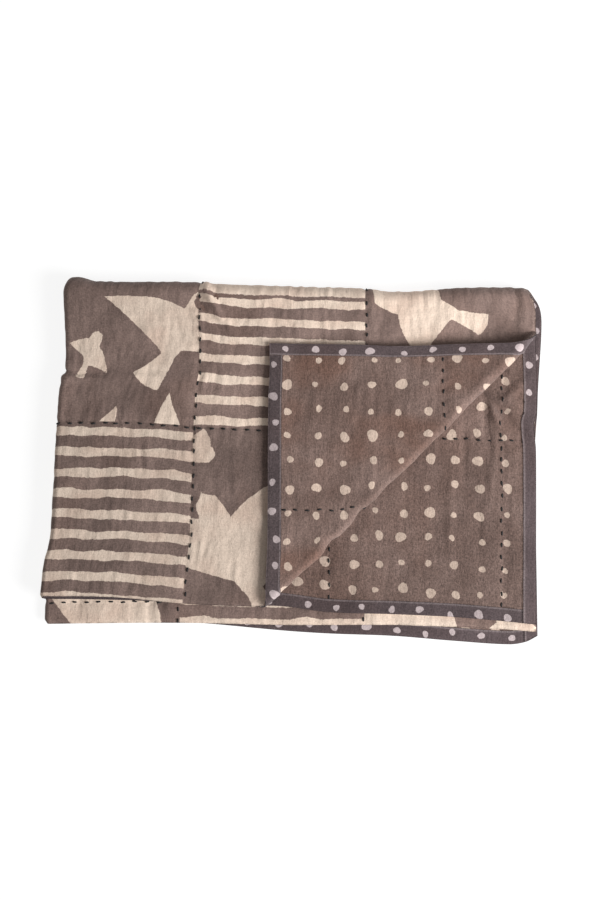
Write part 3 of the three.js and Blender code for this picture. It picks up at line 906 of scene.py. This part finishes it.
def stitch_centres(side):
    """The middles and directions of every stitch on one side of the flat quilt. On the backing they
    are half a pitch on."""
    centres, directions = [], []
    for seam in SEAMS:
        places, skew, lean = stitch_line(seam)
        if side == "lower":
            places = places + STITCH_PITCH / 2
        way, held = seam[:2]
        held = np.full(len(places), held + STITCH_ASIDE) + skew
        order = 1 if way == "across" else -1
        centres.append(np.stack([held, places][::order], axis=1))
        directions.append(np.stack([lean, np.ones(len(places))][::order], axis=1))
    centres, directions = np.concatenate(centres), np.concatenate(directions)
    keep = np.abs(centres[:, 0]) < HALF_ACROSS - STITCH_MARGIN
    keep &= centres[:, 1] < FRONT_LENGTH - STITCH_MARGIN
    margin = STRIP_MARGIN if side == "upper" else STITCH_MARGIN
    keep &= centres[:, 1] > margin - BACK_LENGTH
    return centres[keep], directions[keep]


def stitch_points(side):
    """Every stitch on one side of the quilt, as a short arched thread with rounded ends.

    A stitch runs along its seam. Its height is highest in its middle and dips into the cloth at
    both ends, and its section is a ring of six points about that line.
    """
    along_ring, ring = 7, 6
    run = np.linspace(-1, 1, along_ring)
    centres, directions = stitch_centres(side)
    s = centres[:, 0, None] + directions[:, 0, None] * run * STITCH_LENGTH / 2
    t = centres[:, 1, None] + directions[:, 1, None] * run * STITCH_LENGTH / 2
    sign = 1 if side == "upper" else -1
    face = top_face(s, t) if side == "upper" else backing_face(s, t)
    arch = STITCH_RISE - STITCH_DIP * np.abs(run) ** 3
    line = on_cloth(s, t, face + sign * arch)
    line[..., 2] = np.maximum(line[..., 2], STITCH_FLOOR)
    ahead = np.gradient(line, axis=1)
    ahead /= np.linalg.norm(ahead, axis=-1, keepdims=True)
    out = on_cloth(s, t, face + sign) - on_cloth(s, t, face)
    out /= np.linalg.norm(out, axis=-1, keepdims=True)
    aside = np.cross(ahead, out)
    turn = 2 * np.pi * np.arange(ring) / ring
    thick = STITCH_WIDTH / 2 * np.sqrt(1 - STITCH_TAPER * run**4)
    wide, high = np.cos(turn)[:, None], STITCH_FLATNESS * np.sin(turn)[:, None]
    section = wide * aside[:, :, None, :] + high * out[:, :, None, :]
    return line[:, :, None, :] + thick[:, None, None] * section


def stitch_faces(count, along_ring, ring):
    """The faces of each stitch: squares between its rings and a six-sided cap at each end."""
    i, j = np.meshgrid(np.arange(along_ring - 1), np.arange(ring), indexing="ij")
    a, b = i * ring + j, i * ring + (j + 1) % ring
    quads = np.stack([a, b, b + ring, a + ring], axis=-1).reshape(-1, 4)
    caps = np.stack([np.arange(ring)[::-1], np.arange(ring) + (along_ring - 1) * ring])
    starts = np.arange(count)[:, None, None] * along_ring * ring
    return (quads + starts).reshape(-1, 4), (caps + starts).reshape(-1, ring)


def linear(colour):
    """A picked colour's values as light."""
    c = np.array(colour[:3])
    return tuple(np.where(c <= 0.04045, c / 12.92, ((c + 0.055) / 1.055) ** 2.4)) + (1.0,)


class Nodes:
    """Short ways to add the nodes of one material."""

    def __init__(self, material):
        material.use_nodes = True
        self.tree = material.node_tree
        self.shader = self.tree.nodes["Principled BSDF"]

    def add(self, kind, inputs=None, **settings):
        node = self.tree.nodes.new(kind)
        for key, value in settings.items():
            setattr(node, key, value)
        for key, value in (inputs or {}).items():
            self.into(node.inputs[key], value)
        return node

    def into(self, socket, value):
        if isinstance(value, bpy.types.NodeSocket):
            self.tree.links.new(value, socket)
        else:
            socket.default_value = value

    def maths(self, operation, a, b=0.0, c=0.0):
        node = self.add("ShaderNodeMath", operation=operation)
        for socket, value in zip(node.inputs, (a, b, c)):
            self.into(socket, value)
        return node.outputs[0]

    def mix(self, factor, a, b):
        node = self.add("ShaderNodeMix", data_type="RGBA")
        self.into(node.inputs[0], factor)
        self.into(node.inputs[6], a)
        self.into(node.inputs[7], b)
        return node.outputs[2]

    def noise(self, at, scale, detail=3.0, rough=0.5):
        inputs = {"Vector": at, "Scale": scale, "Detail": detail, "Roughness": rough}
        return self.add("ShaderNodeTexNoise", inputs).outputs["Fac"]

    def stretched(self, at, scale):
        return self.add("ShaderNodeMapping", {"Vector": at, "Scale": scale}).outputs[0]

    def ramp(self, value, low, high, to_low=0.0, to_high=1.0):
        node = self.add("ShaderNodeMapRange", interpolation_type="SMOOTHSTEP")
        keys = ("Value", "From Min", "From Max", "To Min", "To Max")
        for key, v in zip(keys, (value, low, high, to_low, to_high)):
            self.into(node.inputs[key], v)
        return node.outputs[0]

    def attribute(self, name):
        return self.add("ShaderNodeAttribute", attribute_name=name).outputs["Fac"]

    def bump(self, height, strength, distance, **onto):
        inputs = {"Height": height, "Strength": strength, "Distance": distance, **onto}
        return self.add("ShaderNodeBump", inputs).outputs[0]

    def surface(self, values):
        for key, value in values.items():
            self.into(self.shader.inputs[key], value)


# Each cloth's finish: its name, how strongly its threads show, how ragged the outline of its print
# is in millimetres, and 1 where its streaks turn on the right of the first fold.
FINISHES = {
    "patch": ("printed_patchwork", 0.27, 1.1, 0.0),
    "backing": ("dotted_backing", 0.38, 0.6, 1.0),
    "binding": ("slate_binding", 0.3, 0.5, 0.0),
}
# Noise that runs along the cloth: its waves a metre across and along, its detail and roughness.
WARP, WEFT = (640.0, 300.0, 4.0, 0.75), (300.0, 660.0, 4.0, 0.75)
STREAK, FINE_CRINKLE = (210.0, 20.0, 4.0, 0.6), (170.0, 46.0, 3.0, 0.6)
# Noise that is the same both ways: its waves a metre, its detail and roughness.
CLOUD, GRIT = (13.0, 5.0, 0.62), (640.0, 3.0, 0.75)
BLUSH, WIDE_RAG, CLOSE_RAG = (24.0, 4.0), (95.0, 2.0), (300.0, 3.0, 0.65)
KNOBS, TWIST = (70.0, 3.0), (1900.0, 2.0)
STAIN_STRETCH, STAIN = (9.0, 6.0, 1.0), (1.0, 3.0, 0.6)
# From which value of its noise to which a trait comes in: thin dye, streaks, stains, the print's
# blush, its wear and its edge, the shade of the grain and the roughness of the threads.
THIN_DYE, STREAKED, STAINED = (0.36, 0.66), (0.5, 0.72), (0.46, 0.64)
BLUSHED, WORN, PRINT_EDGE = (0.4, 0.68), (0.62, 0.94), (-0.3, 0.35)
SHADED, ROUGH, TWISTED = (0.38, 0.62), (0.3, 0.7), (0.35, 0.7)
# How strong the traits are, and how much stronger where the streaks turn.
STREAK_SHARE, TURNED_STREAKS = 0.08, 0.24
STAIN_SHARE, TURNED_STAINS = 0.2, 0.33
WORN_COVER, ROUGHNESS, FOLD_WEAR_AND_HIGHLIGHT = (0.9, 1.0), (0.86, 0.96), 0.3
SLUB_ON_PRINT, THREAD_SHARE, WARP_LEAN = 0.36, 0.72, 0.12
DARK_TINT, WARM_TINT, LIGHTER_THREAD = 0.78, (0.98, 0.84, 0.74), 0.07
# Bumps: their strength, and their height in metres.
CREASE_BUMP, WEAVE_BUMP, TWIST_BUMP = (0.42, 0.002), (0.65, 0.0008), (0.4, 0.0003)
GRIT_HEIGHT, KNOB_HEIGHT, PRINT_HEIGHT = 0.45, 0.9, 0.06
CLOTH_SHEEN = {"Specular IOR Level": 0.2, "Sheen Weight": 0.12, "Sheen Roughness": 0.6}


def dyed_ground(n, at, right, streak, ground, wash, turns):
    """The ground's colour: lighter where the dye is thin, with darker streaks and warm stains."""
    cloud = n.noise(at, *CLOUD)
    stain = n.noise(n.stretched(at, STAIN_STRETCH), *STAIN)
    warm = linear(tuple(c * k for c, k in zip(ground, WARM_TINT)))
    dark = linear(tuple(DARK_TINT * c for c in ground))
    base = n.mix(n.ramp(cloud, *THIN_DYE), linear(ground), linear(wash))
    streaked = STREAK_SHARE + TURNED_STREAKS * turns
    base = n.mix(n.ramp(streak, *STREAKED, 0.0, streaked), base, dark)
    stained = n.maths("MULTIPLY_ADD", right, TURNED_STAINS, STAIN_SHARE)
    return n.mix(n.ramp(stain, *STAINED, 0.0, stained), base, warm)


def print_cover(n, at, edge):
    """Where the pale print covers the ground: inside its outline, which is ragged both ways."""
    ragged = n.maths("MULTIPLY_ADD", n.noise(at, *CLOSE_RAG), edge * 2, -edge)
    ragged = n.maths("SUBTRACT", ragged, edge)
    ragged = n.maths("MULTIPLY_ADD", n.noise(at, *WIDE_RAG), edge * 2, ragged)
    return n.ramp(n.maths("ADD", n.attribute("print"), ragged), *PRINT_EDGE)


def cloth_finish(colours, cloth):
    """Hand-woven cotton with a block print: an uneven ground, a pale print with worn edges, and the
    weave's slubs running both ways. The streaks and fine crinkles run along t, and where the cloth
    turns they run along s on the right of the first fold."""
    name, slub, edge, turns = FINISHES[cloth]
    parts = ("ground", "wash", "print")
    ground, wash, ink = (getattr(colours, f"{cloth}_{part}") for part in parts)
    ink_warm = colours.patch_blush if cloth == "patch" else ink
    material = bpy.data.materials.new(name)
    n = Nodes(material)
    at = n.add("ShaderNodeUVMap", uv_map="flat_quilt").outputs[0]
    from_fold = n.add("ShaderNodeSeparateXYZ", {0: at}).outputs[0]
    right = n.ramp(from_fold, -0.002, 0.002, 0.0, turns)

    def running(across, along, detail, rough):
        one = n.noise(n.stretched(at, (across, along, 1.0)), 1.0, detail, rough)
        other = n.noise(n.stretched(at, (along, across, 1.0)), 1.0, detail, rough)
        return n.maths("MULTIPLY_ADD", right, n.maths("SUBTRACT", other, one), one)

    warp, weft, grit = running(*WARP), running(*WEFT), n.noise(at, *GRIT)
    base = dyed_ground(n, at, right, running(*STREAK), ground, wash, turns)
    pale = n.mix(n.ramp(n.noise(at, *BLUSH), *BLUSHED), linear(ink), linear(ink_warm))
    cover = print_cover(n, at, edge)
    both = n.maths("ADD", warp, n.maths("MULTIPLY", weft, 0.7))
    worn = n.ramp(both, *WORN, *WORN_COVER)
    colour = n.mix(n.maths("MULTIPLY", cover, worn), base, pale)
    # The binding's folded inner edge is tinted towards its pale print: partly wear, partly a painted
    # highlight where the fold catches the light.
    colour = n.mix(n.maths("MULTIPLY", n.attribute("fold"), FOLD_WEAR_AND_HIGHLIGHT), colour, linear(ink))

    lean = WARP_LEAN * turns
    threads = n.maths("MULTIPLY_ADD", warp, 0.5 + lean, n.maths("MULTIPLY", weft, 0.5 - lean))
    gritty = n.maths("MULTIPLY", grit, 1 - THREAD_SHARE)
    grain = n.maths("ADD", n.maths("MULTIPLY", threads, THREAD_SHARE), gritty)
    strength = n.ramp(cover, 0.0, 1.0, slub, slub * SLUB_ON_PRINT)
    # The dye attribute lightens or darkens a cloth; on the backing's lower layers and on the patch
    # beside the turned-back corner it is painted shade.
    dye = n.maths("ADD", n.attribute("dye"), 1.0)
    shade = n.maths("MULTIPLY_ADD", n.ramp(grain, *SHADED, -1.0, 1.0), strength, dye)
    tone = n.add("ShaderNodeCombineXYZ", {0: shade, 1: shade, 2: shade}).outputs[0]
    shaded = n.add("ShaderNodeVectorMath", {0: colour, 1: tone}, operation="MULTIPLY")

    knobs = n.maths("MULTIPLY", n.noise(at, *KNOBS), KNOB_HEIGHT)
    creased = n.bump(n.maths("ADD", running(*FINE_CRINKLE), knobs), *CREASE_BUMP)
    raised = n.maths("ADD", threads, n.maths("MULTIPLY", grit, GRIT_HEIGHT))
    raised = n.maths("MULTIPLY_ADD", cover, PRINT_HEIGHT, raised)
    woven = n.bump(raised, *WEAVE_BUMP, Normal=creased)
    roughness = n.ramp(threads, *ROUGH, *ROUGHNESS)
    n.surface({"Base Color": shaded.outputs[0], "Normal": woven, "Roughness": roughness})
    n.surface(CLOTH_SHEEN)
    return material


def thread_finish(name, colour):
    """Black cotton thread: a fine twist across its run, a little lighter on its high side."""
    material = bpy.data.materials.new(name)
    n = Nodes(material)
    twist = n.noise(n.add("ShaderNodeTexCoord").outputs["Object"], *TWIST)
    lighter = linear(tuple(c + LIGHTER_THREAD for c in colour))
    tone = n.mix(n.ramp(twist, *TWISTED), linear(colour), lighter)
    n.surface({"Base Color": tone, "Normal": n.bump(twist, *TWIST_BUMP), "Roughness": 0.8})
    return material


def colour_prop(words, default):
    """A picked colour, named by the first sentence of its description."""
    return bpy.props.FloatVectorProperty(
        name=words.split(".")[0], description=words, subtype="COLOR", size=3, min=0, max=1,
        default=default,
    )


class QuiltColours(bpy.types.PropertyGroup):
    """The colours of the quilt's cloths and thread."""

    patch_ground: colour_prop("Ground of the patches. Taupe dye", (0.42, 0.35, 0.325))
    patch_wash: colour_prop(
        "Lighter wash of the patches. Where the dye is thin", (0.52, 0.44, 0.41)
    )
    patch_print: colour_prop("Print of the patches. Pale stripes and birds", (0.85, 0.775, 0.71))
    patch_blush: colour_prop(
        "Warm tint of the print. Where it takes up the dye", (0.81, 0.72, 0.655)
    )
    backing_ground: colour_prop("Ground of the backing. Brown dye", (0.425, 0.345, 0.315))
    backing_wash: colour_prop(
        "Lighter wash of the backing. Where the dye is thin", (0.50, 0.418, 0.388)
    )
    backing_print: colour_prop("Dots of the backing. Cream", (0.775, 0.69, 0.63))
    binding_ground: colour_prop("Ground of the binding. Slate dye", (0.322, 0.273, 0.278))
    binding_wash: colour_prop(
        "Lighter wash of the binding. Where the dye is thin", (0.366, 0.317, 0.322)
    )
    binding_print: colour_prop("Dots of the binding. Pale lavender", (0.76, 0.70, 0.70))
    thread: colour_prop("Running stitches. Black thread", (0.07, 0.06, 0.06))


class QuiltStage(bpy.types.PropertyGroup):
    """The floor, light and camera."""

    camera_height: bpy.props.FloatProperty(
        name="Camera height", description="Height of the camera over the quilt",
        default=2.023, min=0.5, unit="LENGTH",
    )
    lens: bpy.props.FloatProperty(
        name="Lens", description="Focal length in millimetres", default=80.0, min=10.0
    )
    key_power: bpy.props.FloatProperty(
        name="Window light", description="Power of the large soft light",
        default=58.0, min=0.0, unit="POWER",
    )
    fill: bpy.props.FloatProperty(
        name="Surroundings", description="Brightness all round", default=0.32, min=0.0
    )


def dress(piece, material, node=None):
    """Gives a finished piece its material and its body, and hides the CAD node that it stands for.
    """
    piece.data.materials.append(material)
    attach(piece, "root")
    if node:
        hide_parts(node)


class QUILT_OT_patchwork(bpy.types.Operator):
    """The patchwork face, with its seams, puckers and block prints"""

    bl_idname = "quilt.patchwork"
    bl_label = "Patchwork"

    def execute(self, context):
        top = cloth_mesh(
            "patchwork", WHOLE, TOP_GRID, top_face, inner_face(TOP_BACK), "upper",
            {"print": patch_print, "dye": patch_tone_and_shade},
            sorted(UPPER_ACROSS + LOWER_ACROSS), sorted(ALONG),
        )
        finish = cloth_finish(context.scene.quilt_colours, "patch")
        dress(top, finish, "quilt_top")
        return {"FINISHED"}


class QUILT_OT_backing(bpy.types.Operator):
    """The dotted backing cloth"""

    bl_idname = "quilt.backing"
    bl_label = "Backing"

    def execute(self, context):
        backing = cloth_mesh(
            "backing", WHOLE, BACKING_GRID, inner_face(BACKING_BACK), backing_face, "lower",
            # On the backing the dye attribute carries painted shade on its lower layers.
            {"print": dots_print(backing_dots()), "dye": backing_painted_shade},
        )
        finish = cloth_finish(context.scene.quilt_colours, "backing")
        dress(backing, finish, "quilt_backing")
        return {"FINISHED"}


def folded_edge(name):
    """How near a point of a binding strip is to its folded inner edge: 1 on it, and soon 0."""

    def nearness(s, t):
        if "end" in name:
            inner = np.abs(s) - END
        else:
            inner = np.maximum(t - FRONT_LENGTH, -BACK_LENGTH - t) + BINDING_WIDTH
        return np.exp(-(((inner - RIDGE_AT) / RIDGE_HALF) ** 2))

    return nearness


def strip_grid(upright):
    """The backing's grid with smaller steps, which are smallest across the strip."""
    step_s, step_t = (1.0, 2.4) if upright else (2.4, 1.0)
    return {
        "s": [(low, high, min(step, step_s)) for low, high, step in BACKING_GRID["s"]],
        "t": [(low, high, min(step, step_t)) for low, high, step in BACKING_GRID["t"]],
    }


def binding_face(name, sides):
    """The face of a binding strip: full along its middle, with a narrow ridge at its folded inner
    edge, where it is sewn down."""

    def height(s, t):
        ridge = RIDGE_HEIGHT * folded_edge(name)(s, t)
        full = THIN_EDGE + (1 - THIN_EDGE) * hem(s, t, sides)
        body = (BINDING_FACE - BINDING_BACK) * full
        puckered = BINDING_PUCKER * quilted(s, t)[1]
        return BINDING_BACK + body - ridge + off_floor(s, t) * waves(s, t) - puckered

    return height


class QUILT_OT_bindings(bpy.types.Operator):
    """The four slate strips that face the quilt's edges"""

    bl_idname = "quilt.bindings"
    bl_label = "Bindings"

    def execute(self, context):
        finish = cloth_finish(context.scene.quilt_colours, "binding")
        for name, sides in STRIPS.items():
            marks = {"print": dots_print(binding_dots(name)), "fold": folded_edge(name)}
            marks["dye"] = even_dye(STRIP_DYE[name])
            strip = cloth_mesh(
                name.replace("binding", "strip"), sides, strip_grid("end" in name),
                inner_face(BINDING_BACK), binding_face(name, sides), "lower", marks,
            )
            dress(strip, finish, name)
        return {"FINISHED"}


class QUILT_OT_stitches(bpy.types.Operator):
    """The black running stitches beside the seams, on both sides"""

    bl_idname = "quilt.stitches"
    bl_label = "Running stitches"

    def execute(self, context):
        sets = [stitch_points("upper"), stitch_points("lower")]
        points = np.concatenate(sets)
        count, along_ring, ring, _ = points.shape
        quads, caps = stitch_faces(count, along_ring, ring)
        faces = quads.tolist() + caps.tolist()
        stitches = mesh_piece("running_stitches", points.reshape(-1, 3), faces)
        work = bmesh.new()
        work.from_mesh(stitches.data)
        bmesh.ops.recalc_face_normals(work, faces=work.faces)
        work.to_mesh(stitches.data)
        work.free()
        thread = thread_finish("black_thread", context.scene.quilt_colours.thread)
        dress(stitches, thread)
        return {"FINISHED"}


class QUILT_OT_declare(bpy.types.Operator):
    """An empty step, which makes and changes nothing"""

    bl_idname = "quilt.declare"
    bl_label = "Cloth sizes"

    def execute(self, context):
        return {"FINISHED"}


# The stage, in metres: the floor, the window and where the camera is beside the quilt's middle.
FLOOR_HALF = 6.0
PAPER = {
    "Base Color": (0.2, 0.2, 0.2, 1), "Emission Color": (1, 1, 1, 1), "Emission Strength": 0.86,
    "Roughness": 0.9,
}
WINDOW_AT, WINDOW_SIZE = (1.5, -0.6, 1.05), 1.1
DAYLIGHT = (1.0, 0.99, 0.98, 1)
CAMERA_ASIDE, SENSOR_WIDTH = (0.0086, 0.0128), 36.0


class QUILT_OT_stage(bpy.types.Operator):
    """The pale floor, the soft light and the camera straight above"""

    bl_idname = "quilt.stage"
    bl_label = "Stage"

    def execute(self, context):
        scene, stage = context.scene, context.scene.quilt_stage
        side = FLOOR_HALF
        corners = [(-side, -side, 0), (side, -side, 0), (side, side, 0), (-side, side, 0)]
        floor_mesh = bpy.data.meshes.new("floor")
        floor_mesh.from_pydata(corners, [], [(0, 1, 2, 3)])
        paper = bpy.data.materials.new("white_floor")
        Nodes(paper).surface(PAPER)
        floor_mesh.materials.append(paper)
        place_object("floor", floor_mesh)

        lamp = bpy.data.lights.new("window", "AREA")
        lamp.shape, lamp.size, lamp.energy = "SQUARE", WINDOW_SIZE, stage.key_power
        window = place_object("window", lamp)
        window.location = WINDOW_AT
        x, y, z = window.location
        window.rotation_euler = (np.arctan2(np.hypot(x, y), z), 0, np.arctan2(x, -y))

        world = bpy.data.worlds.new("surroundings")
        world.use_nodes = True
        background = world.node_tree.nodes["Background"].inputs
        background["Color"].default_value = DAYLIGHT
        background["Strength"].default_value = stage.fill
        scene.world = world
        scene.view_settings.view_transform = "Standard"

        eye = bpy.data.cameras.new("camera")
        eye.lens = stage.lens
        eye.sensor_width = SENSOR_WIDTH
        camera = place_object("camera", eye)
        camera.location = (*CAMERA_ASIDE, stage.camera_height)
        scene.camera = camera
        return {"FINISHED"}


class QUILT_PT_sidebar(bpy.types.Panel):
    """The quilt's colours, stage and operators"""

    bl_idname = "QUILT_PT_sidebar"
    bl_label = "Quilt"
    bl_space_type = "VIEW_3D"
    bl_region_type = "UI"
    bl_category = "Quilt"

    def draw(self, context):
        for group in (context.scene.quilt_colours, context.scene.quilt_stage):
            for key in group.bl_rna.properties.keys():
                if key not in {"rna_type", "name"}:
                    self.layout.prop(group, key)
        for operator in OPERATORS:
            self.layout.operator(operator.bl_idname)


OPERATORS = (
    QUILT_OT_stage, QUILT_OT_patchwork, QUILT_OT_backing, QUILT_OT_bindings, QUILT_OT_stitches,
    QUILT_OT_declare,
)
CLASSES = (QuiltColours, QuiltStage) + OPERATORS + (QUILT_PT_sidebar,)


def register():
    for cls in CLASSES:
        bpy.utils.register_class(cls)
    bpy.types.Scene.quilt_colours = bpy.props.PointerProperty(type=QuiltColours)
    bpy.types.Scene.quilt_stage = bpy.props.PointerProperty(type=QuiltStage)


def unregister():
    del bpy.types.Scene.quilt_stage
    del bpy.types.Scene.quilt_colours
    for cls in reversed(CLASSES):
        bpy.utils.unregister_class(cls)


def main():
    register()
    bpy.ops.quilt.stage()
    bpy.ops.quilt.patchwork()
    bpy.ops.quilt.backing()
    bpy.ops.quilt.bindings()
    bpy.ops.quilt.stitches()
    bpy.ops.quilt.declare()


if __name__ == "__main__":
    main()
